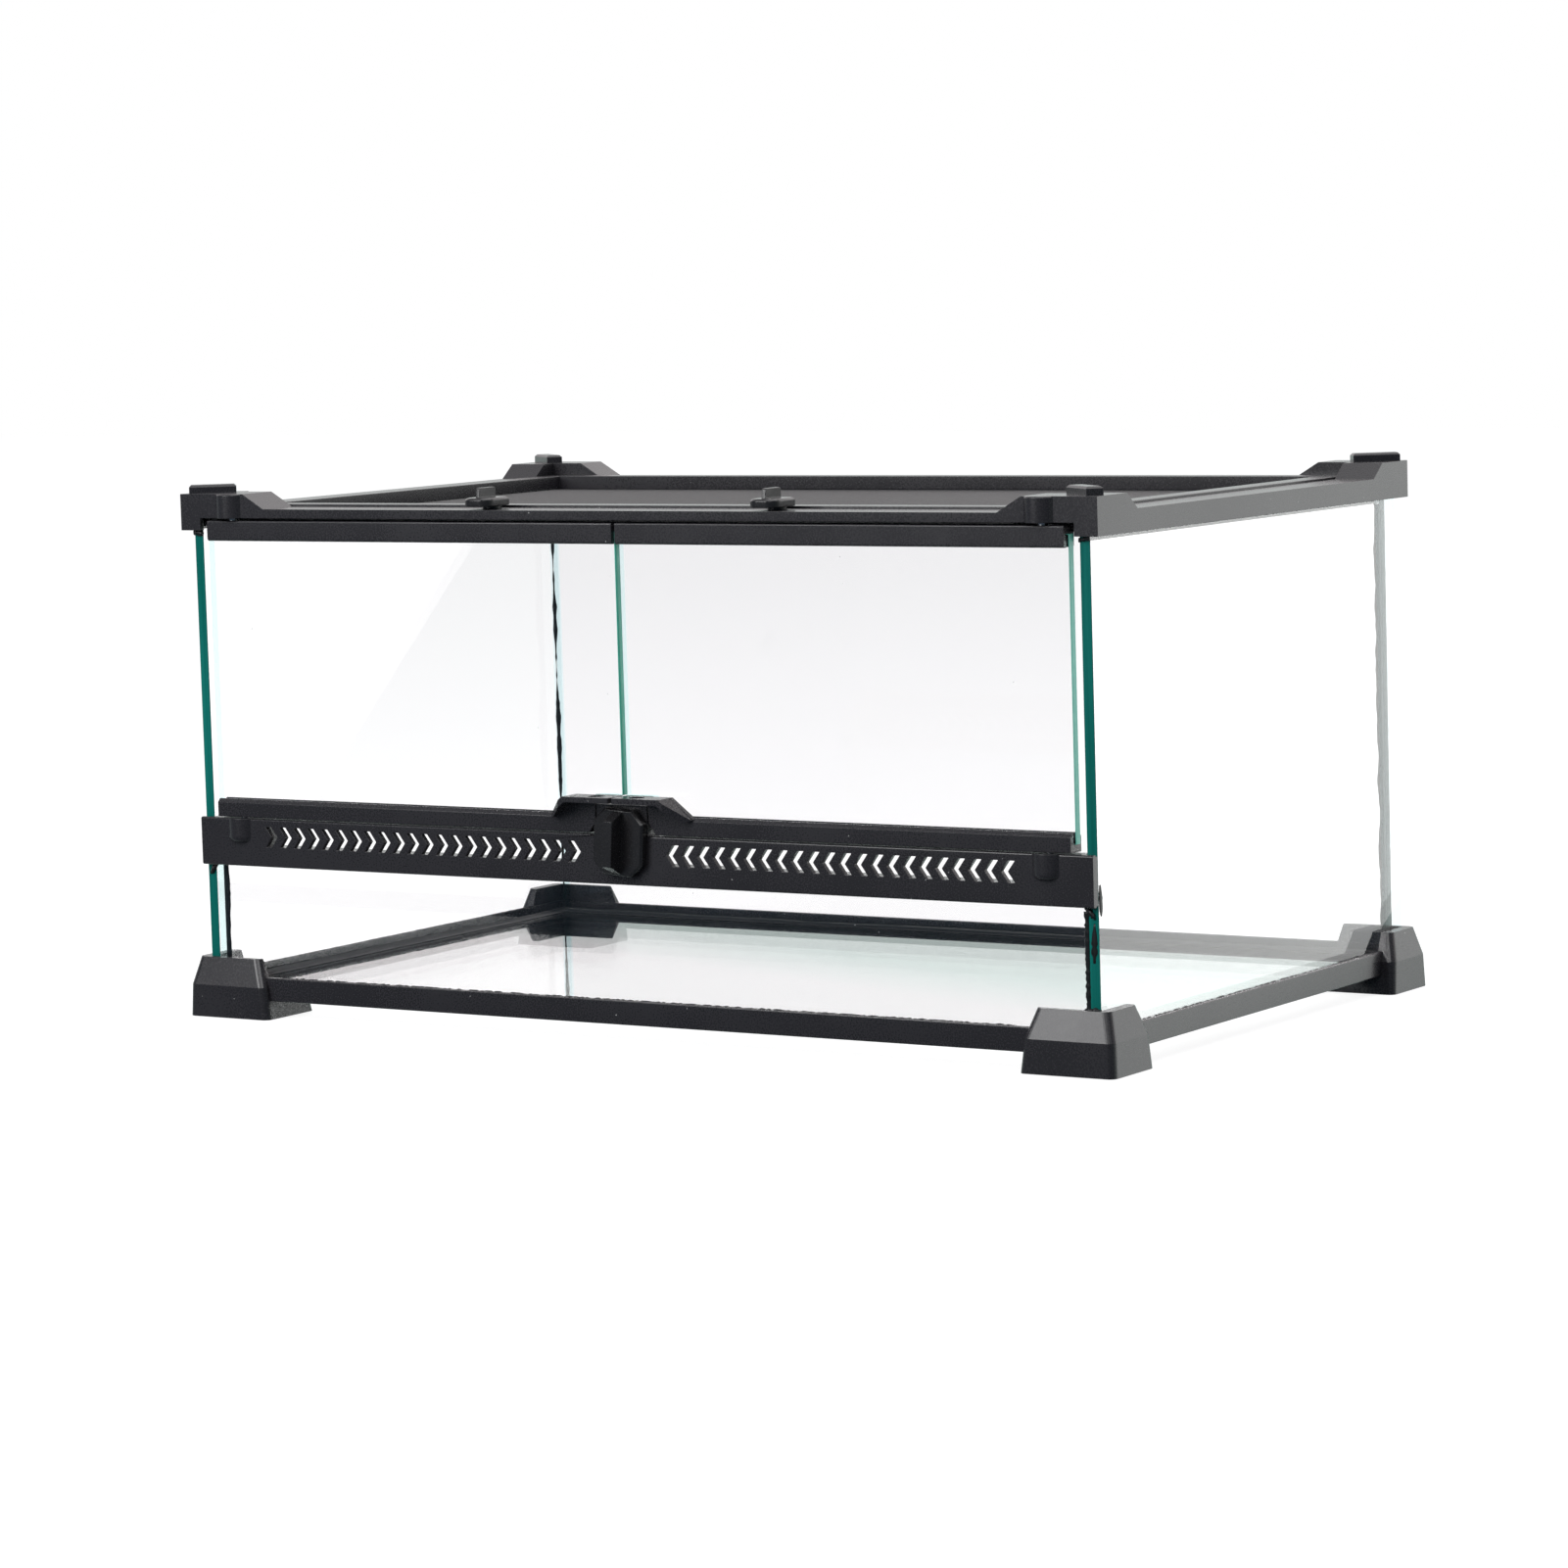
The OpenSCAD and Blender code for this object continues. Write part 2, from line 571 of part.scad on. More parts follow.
placed() base_frame();
placed() foot(false, false);  // foot_front_left
placed() foot(true, false);  // foot_front_right
placed() foot(false, true);  // foot_rear_left
placed() foot(true, true);  // foot_rear_right
placed() floor_pane();
placed() side_pane(false);  // left_pane
placed() side_pane(true);  // right_pane
placed() rear_pane();
placed() lower_front_pane();
placed() vent_rail();
placed() top_frame();
placed() floor_seal();
placed() corner_seal(false, true, flange_z - 0.3);  // rear_left_seal
placed() corner_seal(true, true, flange_z - 0.3);  // rear_right_seal
placed() corner_seal(false, false, web_level);  // front_left_seal
placed() corner_seal(true, false, web_level);  // front_right_seal
placed() door_pane(false);  // left_door_pane
placed() door_top_rail(false);  // left_door_top_rail
placed() door_bottom_rail(false);  // left_door_bottom_rail
placed() door_pins(false);  // left_door_pins
placed() door_pane(true);  // right_door_pane
placed() door_top_rail(true);  // right_door_top_rail
placed() door_bottom_rail(true);  // right_door_bottom_rail
placed() door_pins(true);  // right_door_pins
placed() lock_knob();
placed() knob_washer();
placed() knob_screw();
placed() lid_latch(false);  // left_lid_latch
placed() latch_clip(false);  // left_latch_clip
placed() lid_latch(true);  // right_lid_latch
placed() latch_clip(true);  // right_latch_clip
placed() lid_frame();
placed() lid_mesh();
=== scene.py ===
# %% [markdown]
# # A front-opening reptile terrarium
# The tank is a glass box in black moulded frames, with two swing doors, a slotted vent
# rail, a turn knob and a lift-out screen lid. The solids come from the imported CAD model,
# and they stay where they are. This lesson gives them their finishes: grained plastic,
# clear glass with green edges, hand-run silicone, and a screen of real wires.

# %% Load the tank
import math
import random

import bmesh
import bpy
from mathutils import Matrix, Quaternion, Vector


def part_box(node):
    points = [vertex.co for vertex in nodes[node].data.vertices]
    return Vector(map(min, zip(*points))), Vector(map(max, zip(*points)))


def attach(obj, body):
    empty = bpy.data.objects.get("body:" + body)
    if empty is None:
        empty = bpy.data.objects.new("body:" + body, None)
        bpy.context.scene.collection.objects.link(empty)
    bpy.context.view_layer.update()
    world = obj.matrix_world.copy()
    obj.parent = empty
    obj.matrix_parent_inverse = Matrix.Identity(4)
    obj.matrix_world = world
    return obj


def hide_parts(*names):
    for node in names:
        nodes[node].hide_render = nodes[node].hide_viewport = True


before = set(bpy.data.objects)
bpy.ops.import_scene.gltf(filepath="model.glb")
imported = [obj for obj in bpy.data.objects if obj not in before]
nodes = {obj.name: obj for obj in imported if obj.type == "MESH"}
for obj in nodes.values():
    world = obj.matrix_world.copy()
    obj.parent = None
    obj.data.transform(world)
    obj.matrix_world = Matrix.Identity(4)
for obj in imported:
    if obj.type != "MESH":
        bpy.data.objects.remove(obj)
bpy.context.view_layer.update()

MM = 0.001
tank_middle_y = sum(corner.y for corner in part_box("floor_pane")) / 2

# %% [markdown]
# ## Camera
# The photograph looks at the front right corner from just above the lid, with a long
# lens. The angles were found by fitting the tank's corners to the picture. A small roll
# is left in, because the picture leans a little. A long lens far away keeps the verticals
# nearly parallel, which a short lens close by could not do.

# %% Camera at the photograph's angle
VIEW_AZIMUTH = math.radians(32.993)
VIEW_ELEVATION = math.radians(5.912)
VIEW_ROLL = math.radians(-1.695)
VIEW_DISTANCE = 2.5089
LENS_MM = 122.74
aim = Vector((-8.83 * MM, tank_middle_y, 101.99 * MM))

back = Vector((math.sin(VIEW_AZIMUTH) * math.cos(VIEW_ELEVATION),
               -math.cos(VIEW_AZIMUTH) * math.cos(VIEW_ELEVATION),
               math.sin(VIEW_ELEVATION)))
level_right = Vector((math.cos(VIEW_AZIMUTH), math.sin(VIEW_AZIMUTH), 0))
level_up = back.cross(level_right)
right = level_right * math.cos(VIEW_ROLL) + level_up * math.sin(VIEW_ROLL)
up = back.cross(right)

camera_data = bpy.data.cameras.new("photo_camera")
camera_data.lens = LENS_MM
camera_data.sensor_width = 36
camera_data.clip_start = 0.05
camera_data.clip_end = 50
camera = bpy.data.objects.new("photo_camera", camera_data)
bpy.context.scene.collection.objects.link(camera)
camera.matrix_world = Matrix.Translation(aim + back * VIEW_DISTANCE) @ Matrix(
    (right, up, back)).transposed().to_4x4()
bpy.context.scene.camera = camera
bpy.context.scene.view_settings.view_transform = "Standard"
print("camera stands", round(VIEW_DISTANCE, 2), "m from the tank")

# %% [markdown]
# ## A helper for node materials
# Every finish below is a small tree of shader nodes. One function that adds a node, sets
# its inputs and links what is handed to it keeps those trees short enough to read.

# %% Add a shader node
def put(tree, kind, inputs=(), **settings):
    """Adds a node. An input is a value, or a socket to link."""
    made = tree.nodes.new(kind)
    for name, value in settings.items():
        setattr(made, name, value)
    for key, value in dict(inputs).items():
        if isinstance(value, bpy.types.NodeSocket):
            tree.links.new(value, made.inputs[key])
        else:
            made.inputs[key].default_value = value
    return made


def new_tree(name):
    """A material with only its output left, for put() to fill."""
    made = bpy.data.materials.new(name)
    made.use_nodes = True
    made.node_tree.nodes.clear()
    return made, made.node_tree, made.node_tree.nodes.new("ShaderNodeOutputMaterial")


def spots(tree, place, per_metre, size, share):
    """Scattered dots: 1 inside a dot and 0 elsewhere. share is how many cells have one."""
    cells = put(tree, "ShaderNodeTexVoronoi", {"Vector": place, "Scale": per_metre})
    near = put(tree, "ShaderNodeMath", {0: cells.outputs["Distance"], 1: size},
               operation="LESS_THAN")
    pick = put(tree, "ShaderNodeSeparateColor", {"Color": cells.outputs["Color"]})
    chosen = put(tree, "ShaderNodeMath", {0: pick.outputs[0], 1: share},
                 operation="LESS_THAN")
    return put(tree, "ShaderNodeMath", {0: near.outputs[0], 1: chosen.outputs[0]},
               operation="MULTIPLY").outputs[0]


def looked_at(tree):
    """1 on rays the camera sends out, straight or through glass, and 0 on all others."""
    ray = put(tree, "ShaderNodeLightPath").outputs
    return put(tree, "ShaderNodeMath",
               {0: ray["Is Camera Ray"], 1: ray["Is Transmission Ray"]},
               operation="MAXIMUM").outputs[0]


print("helpers ready: put, new_tree, spots, looked_at")

# %% [markdown]
# ## Studio
# The picture has a white background, dark air in front of the tank and bright walls behind
# it. That is why the front faces are near black, while the right faces are grey and the
# flat tops shine. A world that is bright on the far side and dim and bluish on the near
# side does the same. What the camera sees directly, or through the glass, is plain white.
#
# The wall that the floor glass mirrors has two tones: a pale green lower part and a white
# upper part, with a slightly slanted edge between them. It shows as two tones in the floor.

# %% World, bright behind the tank
BACK_WALL = (1.08, 1.04, 1.05)
BACK_WALL_LOW = (0.82, 0.94, 0.90)
FRONT_AIR = (0.07, 0.10, 0.13)
WALL_EDGE_SLANT = (-0.142, -0.093, 1.0)
WALL_EDGE_HEIGHT = 0.1355
WALL_EDGE_BLUR = 0.003
FRONT_ENDS_Y, BACK_STARTS_Y = -0.45, 0.55
world = bpy.data.worlds.new("white_studio")
bpy.context.scene.world = world
world.use_nodes = True
sky = world.node_tree
sky.nodes.clear()
direction = put(sky, "ShaderNodeTexCoord").outputs["Generated"]
toward_back = put(sky, "ShaderNodeSeparateXYZ", {0: direction}).outputs["Y"]
behind = put(sky, "ShaderNodeMapRange",
             {"Value": toward_back, "From Min": FRONT_ENDS_Y, "From Max": BACK_STARTS_Y},
             interpolation_type="SMOOTHSTEP").outputs[0]
slanted = put(sky, "ShaderNodeVectorMath", {0: direction, 1: WALL_EDGE_SLANT},
              operation="DOT_PRODUCT").outputs["Value"]
above_edge = put(sky, "ShaderNodeMapRange",
                 {"Value": slanted, "From Min": WALL_EDGE_HEIGHT - WALL_EDGE_BLUR,
                  "From Max": WALL_EDGE_HEIGHT + WALL_EDGE_BLUR}).outputs[0]
wall = put(sky, "ShaderNodeMix", {"Factor": above_edge, "A": (*BACK_WALL_LOW, 1),
                                  "B": (*BACK_WALL, 1)}, data_type="RGBA").outputs["Result"]
air = put(sky, "ShaderNodeMix", {"Factor": behind, "A": (*FRONT_AIR, 1), "B": wall},
          data_type="RGBA").outputs["Result"]
lighting = put(sky, "ShaderNodeBackground", {"Color": air, "Strength": 1.0})
plain_white = put(sky, "ShaderNodeBackground", {"Color": (1, 1, 1, 1), "Strength": 1.0})
seen = put(sky, "ShaderNodeMixShader", {0: looked_at(sky), 1: lighting.outputs[0],
                                        2: plain_white.outputs[0]})
put(sky, "ShaderNodeOutputWorld", {"Surface": seen.outputs[0]})
print("world: white behind the tank,", FRONT_AIR, "in front of it")

# %% Floor that keeps a soft shadow
# Mirrored rays pass through the floor, so that glass and gloss show the studio walls. To
# the camera the floor is white: a glow lifts it there, and a little grey paint takes the
# shadow. To the rest of the scene it is plain grey paint.
FLOOR_HALF = 6.0
FLOOR_DROP = 0.0003
SHADOW_PAINT = (0.26, 0.26, 0.26, 1)
PLAIN_PAINT = (0.3, 0.3, 0.3, 1)
FLOOR_GLOW = 0.86
floor_mesh = bpy.data.meshes.new("studio_floor")
floor_mesh.from_pydata([(-FLOOR_HALF, -FLOOR_HALF, 0), (FLOOR_HALF, -FLOOR_HALF, 0),
                        (FLOOR_HALF, FLOOR_HALF, 0), (-FLOOR_HALF, FLOOR_HALF, 0)],
                       [], [(0, 1, 2, 3)])
floor = bpy.data.objects.new("studio_floor", floor_mesh)
floor.location.z = -FLOOR_DROP
bpy.context.scene.collection.objects.link(floor)

floor_finish, tree, out = new_tree("white_floor")
lit = put(tree, "ShaderNodeBsdfDiffuse", {"Color": SHADOW_PAINT})
glow = put(tree, "ShaderNodeEmission", {"Color": (1, 1, 1, 1), "Strength": FLOOR_GLOW})
white = put(tree, "ShaderNodeAddShader", {0: lit.outputs[0], 1: glow.outputs[0]})
plain = put(tree, "ShaderNodeBsdfDiffuse", {"Color": PLAIN_PAINT})
through = put(tree, "ShaderNodeBsdfTransparent")
shown = put(tree, "ShaderNodeMixShader", {0: looked_at(tree), 1: plain.outputs[0],
                                          2: white.outputs[0]})
is_mirrored = put(tree, "ShaderNodeLightPath").outputs["Is Glossy Ray"]
mirrored = put(tree, "ShaderNodeMixShader", {0: is_mirrored, 1: shown.outputs[0],
                                             2: through.outputs[0]})
tree.links.new(mirrored.outputs[0], out.inputs["Surface"])
floor_mesh.materials.append(floor_finish)
print("floor:", 2 * FLOOR_HALF, "m square")


# %% Soft lamps
def soft_lamp(name, place, toward, width, height, radiance, tint=(1, 1, 1), roll=0):
    """A flat lamp that faces a point. radiance is how bright its face looks."""
    data = bpy.data.lights.new(name, "AREA")
    data.shape = "RECTANGLE"
    data.size = width
    data.size_y = height
    data.energy = radiance * math.pi * width * height
    data.color = tint
    lamp = bpy.data.objects.new(name, data)
    bpy.context.scene.collection.objects.link(lamp)
    lamp.location = place
    facing = (Vector(toward) - Vector(place)).to_track_quat("-Z", "Y")
    lamp.rotation_euler = (facing @ Quaternion((0, 0, 1), math.radians(roll))).to_euler()
    lamp.visible_camera = False
    lamp.visible_transmission = False
    print(name, "radiance", radiance)


# The first one stands where the right side of the tank mirrors it to the camera. It greys
# the right faces and lays a pale veil over whatever is behind the right pane. It is rolled,
# so that one slanted edge of it just misses the rear foot, which stays dark in the picture.
# The last two are weak: the bright wall behind the tank already shows in the tops.
SEEN_IN_RIGHT_SIDE = Vector((0.545, 0.839, 0))
VEIL_CENTRE = Vector((0.977, 0.984, 0.367))
soft_lamp("right_rear_softbox", VEIL_CENTRE, VEIL_CENTRE - SEEN_IN_RIGHT_SIDE,
          width=1.2, height=1.0, radiance=1.6, tint=(1.0, 0.95, 0.96), roll=56.3)
soft_lamp("front_left_softbox", (-0.75, -1.75, 1.15), aim,
          width=1.1, height=1.5, radiance=8.0)
soft_lamp("front_right_fill", (1.3, -2.4, 2.3), aim,
          width=1.6, height=1.6, radiance=4.0)
soft_lamp("rear_top_softbox", (0.0, 1.8, 1.6), aim,
          width=2.2, height=1.3, radiance=0.5, tint=(1.0, 0.96, 0.96))
soft_lamp("top_light", (0.2, 0.3, 2.6), aim,
          width=2.0, height=2.0, radiance=1.8)

# %% [markdown]
# ## Black moulded plastic
# The frames are black plastic with a fine spark-eroded grain. The grain hardly shows as
# colour. It shows as a broken highlight, so it goes into the bump and the roughness. Two
# noises are used: one of about three quarters of a millimetre for the grain, and a slow one
# for the uneven sheen of a large moulding. A few white dots stand for the dust that black
# plastic always carries.

# %% Plastic
GRAIN_PER_METRE = 1300.0
SHEEN_PER_METRE = 22.0
DUST_WHITE = (0.7, 0.7, 0.7, 1)


def moulded_plastic(name, colour, roughness, grain_depth, dust):
    """Black plastic with its own sheen, grain depth in metres and share of dust."""
    made, tree, out = new_tree(name)
    place = put(tree, "ShaderNodeTexCoord").outputs["Object"]
    grain = put(tree, "ShaderNodeTexNoise",
                {"Vector": place, "Scale": GRAIN_PER_METRE, "Detail": 1.0,
                 "Roughness": 0.6}).outputs[0]
    sheen = put(tree, "ShaderNodeTexNoise",
                {"Vector": place, "Scale": SHEEN_PER_METRE, "Detail": 4.0})
    mixed = put(tree, "ShaderNodeMath", {0: grain, 1: sheen.outputs[0]}, operation="ADD")
    rough = put(tree, "ShaderNodeMapRange",
                {"Value": mixed.outputs[0], "From Min": 0.7, "From Max": 1.3,
                 "To Min": roughness - 0.03, "To Max": roughness + 0.04})
    specks = spots(tree, place, per_metre=260.0, size=0.06, share=0.09)
    mottle = put(tree, "ShaderNodeMapRange", {"Value": mixed.outputs[0], "From Min": 0.75,
                                              "From Max": 1.25}).outputs[0]
    shade = put(tree, "ShaderNodeMix",
                {"Factor": mottle, "A": (*[c * 0.88 for c in colour], 1),
                 "B": (*[c * 1.15 for c in colour], 1)}, data_type="RGBA")
    dusty = put(tree, "ShaderNodeMath", {0: specks, 1: dust}, operation="MULTIPLY")
    shade = put(tree, "ShaderNodeMix",
                {"Factor": dusty.outputs[0], "A": shade.outputs["Result"],
                 "B": DUST_WHITE}, data_type="RGBA")
    bump = put(tree, "ShaderNodeBump", {"Height": grain, "Strength": 0.25,
                                        "Distance": grain_depth})
    skin = put(tree, "ShaderNodeBsdfPrincipled",
               {"Base Color": shade.outputs["Result"], "Roughness": rough.outputs[0],
                "Normal": bump.outputs[0], "Specular IOR Level": 0.45})
    tree.links.new(skin.outputs[0], out.inputs["Surface"])
    print("plastic", name, "roughness about", roughness)
    return made


frame_plastic = moulded_plastic("grained_black_plastic", (0.0165, 0.0155, 0.018),
                                roughness=0.27, grain_depth=8e-6, dust=0.7)
knob_plastic = moulded_plastic("smooth_black_plastic", (0.0115, 0.011, 0.012),
                               roughness=0.24, grain_depth=5e-6, dust=0.6)

# %% [markdown]
# ## Glass
# A clean pane shows nothing of itself but what it mirrors. Each of its two large faces lets
# light straight through, faintly tinted, and mirrors a share of it. That share is 4% when
# the face is seen square on and climbs steeply at a slant: the floor pane mirrors more than
# half. The narrow edges are ground and look teal from outside, since light that leaves
# there has crossed a lot of glass. From inside the pane an edge lets light out again, so
# its far side is see-through, with a tint of its own.

# %% Clear faces
MIRRORED_SQUARE_ON = 0.04


def clear_glass(name, tint, marks):
    """A glass face: see-through, mirroring more at a slant, with a few dusty marks."""
    made, tree, out = new_tree(name)
    place = put(tree, "ShaderNodeTexCoord").outputs["Object"]
    slant = put(tree, "ShaderNodeLayerWeight", {"Blend": 0.5}).outputs["Facing"]
    steep = put(tree, "ShaderNodeMath", {0: slant, 1: 5.0}, operation="POWER").outputs[0]
    mirrored = put(tree, "ShaderNodeMapRange",
                   {"Value": steep, "To Min": MIRRORED_SQUARE_ON, "To Max": 1.0}).outputs[0]
    open_way = put(tree, "ShaderNodeBsdfTransparent", {"Color": (*tint, 1)})
    mirror = put(tree, "ShaderNodeBsdfPrincipled",
                 {"Base Color": (1, 1, 1, 1), "Metallic": 1.0, "Roughness": 0.0})
    slab = put(tree, "ShaderNodeMixShader", {0: mirrored, 1: open_way.outputs[0],
                                             2: mirror.outputs[0]})
    film = put(tree, "ShaderNodeBsdfDiffuse", {"Color": (0.55, 0.56, 0.58, 1)})
    specks = spots(tree, place, per_metre=130.0, size=0.04, share=0.03)
    smear = put(tree, "ShaderNodeTexNoise", {"Vector": place, "Scale": 14.0, "Detail": 5.0,
                                             "Roughness": 0.7}).outputs[0]
    smear = put(tree, "ShaderNodeMapRange", {"Value": smear, "From Min": 0.66,
                                             "From Max": 0.80, "To Max": 0.12}).outputs[0]
    share = put(tree, "ShaderNodeMath", {0: specks, 1: smear}, operation="MAXIMUM")
    share = put(tree, "ShaderNodeMath", {0: share.outputs[0], 1: marks},
                operation="MULTIPLY")
    dusty = put(tree, "ShaderNodeMixShader", {0: share.outputs[0], 1: slab.outputs[0],
                                              2: film.outputs[0]})
    tree.links.new(dusty.outputs[0], out.inputs["Surface"])
    print("glass", name, "mirrors", MIRRORED_SQUARE_ON, "square on")
    return made


wall_glass = clear_glass("clear_wall_glass", (0.994, 0.9915, 0.993), marks=0.5)
floor_glass = clear_glass("pale_floor_glass", (0.984, 0.995, 0.992), marks=0.35)


# %% Ground edges
def ground_edge(name, dark, light, from_inside):
    """A ground glass edge: teal, finely streaked, and see-through from inside."""
    made, tree, out = new_tree(name)
    place = put(tree, "ShaderNodeTexCoord").outputs["Object"]
    long = put(tree, "ShaderNodeMapping", {"Vector": place, "Scale": (900, 900, 9)})
    streak = put(tree, "ShaderNodeTexNoise", {"Vector": long.outputs[0], "Scale": 1.0,
                                              "Detail": 2.0}).outputs[0]
    cloud = put(tree, "ShaderNodeTexNoise", {"Vector": place, "Scale": 9.0}).outputs[0]
    both = put(tree, "ShaderNodeMath", {0: streak, 1: cloud}, operation="ADD")
    amount = put(tree, "ShaderNodeMapRange", {"Value": both.outputs[0], "From Min": 0.75,
                                              "From Max": 1.45})
    shade = put(tree, "ShaderNodeMix", {"Factor": amount.outputs[0], "A": (*dark, 1),
                                        "B": (*light, 1)}, data_type="RGBA")
    skin = put(tree, "ShaderNodeBsdfPrincipled",
               {"Base Color": shade.outputs["Result"], "Roughness": 0.2,
                "Specular IOR Level": 0.25})
    way_out = put(tree, "ShaderNodeBsdfTransparent", {"Color": (*from_inside, 1)})
    side = put(tree, "ShaderNodeNewGeometry").outputs["Backfacing"]
    whole = put(tree, "ShaderNodeMixShader",
                {0: side, 1: skin.outputs[0], 2: way_out.outputs[0]})
    tree.links.new(whole.outputs[0], out.inputs["Surface"])
    print("edge", name)
    return made


DARK_TEAL, LIGHT_TEAL = (0.0003, 0.083, 0.070), (0.005, 0.145, 0.123)
wall_edge = ground_edge("teal_wall_edge", DARK_TEAL, LIGHT_TEAL,
                        from_inside=(0.86, 0.95, 0.96))
front_edge = ground_edge("teal_front_edge", DARK_TEAL, LIGHT_TEAL,
                         from_inside=(0.72, 0.88, 0.87))
door_edge = ground_edge("pale_door_edge", (0.10, 0.44, 0.35), (0.20, 0.62, 0.52),
                        from_inside=(0.80, 0.95, 0.95))

# %% [markdown]
# ## Silicone, steel and screen wire
# Silicone is smooth and black, with a slow ripple where a finger has drawn it. The small
# steel pieces are bare metal with a fine, close unevenness from the lathe. The screen wire
# is powder coated, which gives a fine orange peel. One recipe does for all three, with a
# noise and a bump of its own for each.


# %% Small finishes
def small_finish(name, colour, metallic, roughness, scale, depth):
    """One colour that wanders a little, with a bump of its own scale."""
    made, tree, out = new_tree(name)
    place = put(tree, "ShaderNodeTexCoord").outputs["Object"]
    wave = put(tree, "ShaderNodeTexNoise", {"Vector": place, "Scale": scale, "Detail": 3.0})
    shade = put(tree, "ShaderNodeMix",
                {"Factor": wave.outputs[0], "A": (*[c * 0.7 for c in colour], 1),
                 "B": (*[min(1, c * 1.3) for c in colour], 1)}, data_type="RGBA")
    rough = put(tree, "ShaderNodeMapRange",
                {"Value": wave.outputs[0], "To Min": roughness - 0.08,
                 "To Max": roughness + 0.08})
    bump = put(tree, "ShaderNodeBump", {"Height": wave.outputs[0], "Strength": 0.6,
                                        "Distance": depth})
    skin = put(tree, "ShaderNodeBsdfPrincipled",
               {"Base Color": shade.outputs["Result"], "Metallic": metallic,
                "Roughness": rough.outputs[0], "Normal": bump.outputs[0],
                "Specular IOR Level": 0.25})
    tree.links.new(skin.outputs[0], out.inputs["Surface"])
    print("finish", name)
    return made


silicone = small_finish("drawn_silicone", (0.008, 0.009, 0.010),
                        metallic=0.0, roughness=0.34, scale=160.0, depth=2e-4)
steel = small_finish("turned_steel", (0.55, 0.55, 0.56),
                     metallic=1.0, roughness=0.3, scale=900.0, depth=2e-5)
wire_coat = small_finish("powder_coated_wire", (0.11, 0.107, 0.108),
                         metallic=0.0, roughness=0.5, scale=3000.0, depth=1e-5)

# %% [markdown]
# ## Finishes on the CAD pieces
# A moulding has no knife-sharp edges, and its small rounds carry the thin light lines
# that make black plastic readable. A Bevel modifier rounds them without touching the CAD
# mesh. Weld comes first, because the loaded mesh is split at every sharp edge. A planar
# dissolve clears the loose triangles away, and Weighted Normal keeps the flats flat.
#
# Two things need care. A gentle crease has to be rounded as well, or the shading runs over
# it: the sloped shoulders of the caps would shine like the flat rail beside them. And
# merging can go wrong where a flat face has holes, since one face can't have any. It closed
# the opening of the lid frame, so that piece and the slotted vent rail keep their
# triangles. Their rounds aren't clamped, or the narrowest triangle would set the width.


# %% Round the arrises of a CAD piece
CREASE_DEGREES = 32


def soften(piece, width, segments=2, edge_slot=-1, merge_flats=True,
           from_angle=CREASE_DEGREES):
    """Rounds the edges of a piece that are sharper than from_angle, by modifiers only."""
    weld = piece.modifiers.new("weld", "WELD")
    weld.merge_threshold = 1e-6
    if merge_flats:
        flat = piece.modifiers.new("flat_faces", "DECIMATE")
        flat.decimate_type = "DISSOLVE"
        flat.angle_limit = math.radians(0.5)
        flat.delimit = {"MATERIAL"}
    bevel = piece.modifiers.new("small_rounds", "BEVEL")
    bevel.width = width
    bevel.segments = segments
    bevel.limit_method = "ANGLE"
    bevel.angle_limit = math.radians(from_angle)
    bevel.material = edge_slot
    bevel.miter_outer = "MITER_ARC"
    bevel.use_clamp_overlap = merge_flats
    normals = piece.modifiers.new("flat_shading", "WEIGHTED_NORMAL")
    normals.weight = 90
    normals.keep_sharp = False


def finish_node(name, *finishes):
    """Gives a CAD node its finishes, one for each of its material slots."""
    piece = nodes[name]
    piece.data.materials.clear()
    for finish in finishes:
        piece.data.materials.append(finish)
    return piece


print("edges sharper than", CREASE_DEGREES, "degrees are rounded, unless a piece says less")

# %% Plastic pieces
ROUNDS_MM = {"base_frame": 0.5, "vent_rail": 0.2, "top_frame": 0.55, "lid_frame": 0.3,
             "lock_knob": 0.5, "left_lid_latch": 0.3, "right_lid_latch": 0.3}
GENTLE_DEGREES = {"top_frame": 18, "lock_knob": 18}
KEEP_TRIANGLES = ("vent_rail", "lid_frame")
for name in nodes:
    if name.startswith("foot_"):
        ROUNDS_MM[name] = 0.5
        GENTLE_DEGREES[name] = 7
    if name.endswith(("_top_rail", "_bottom_rail")):
        ROUNDS_MM[name] = 0.35
for name, radius in ROUNDS_MM.items():
    smooth = name == "lock_knob" or name.endswith("_lid_latch")
    piece = finish_node(name, knob_plastic if smooth else frame_plastic)
    soften(piece, radius * MM, merge_flats=name not in KEEP_TRIANGLES,
           from_angle=GENTLE_DEGREES.get(name, CREASE_DEGREES))
print(len(ROUNDS_MM), "plastic pieces rounded")

# %% Steel pieces
STEEL = [name for name in nodes
         if name.endswith(("_pins", "_clip")) or name in ("knob_washer", "knob_screw")]
for name in STEEL:
    soften(finish_node(name, steel), 0.12 * MM)
print("steel:", sorted(STEEL))


# %% Panes with ground edges
def finish_pane(name, face, edge):
    """Clear finish on the two large faces of a pane, ground finish on the rest."""
    piece = finish_node(name, face, edge)
    low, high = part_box(name)
    size = high - low
    thin = min(range(3), key=lambda axis: size[axis])
    edge_faces = 0
    for polygon in piece.data.polygons:
        is_edge = abs(polygon.normal[thin]) < 0.7
        polygon.material_index = int(is_edge)
        edge_faces += is_edge
    soften(piece, 0.25 * MM, segments=1, edge_slot=1)
    print(name, "has", edge_faces, "edge faces")


for name in ("left_pane", "right_pane", "rear_pane"):
    finish_pane(name, wall_glass, wall_edge)
finish_pane("lower_front_pane", wall_glass, front_edge)
finish_pane("floor_pane", floor_glass, wall_edge)
for name in ("left_door_pane", "right_door_pane"):
    finish_pane(name, wall_glass, door_edge)

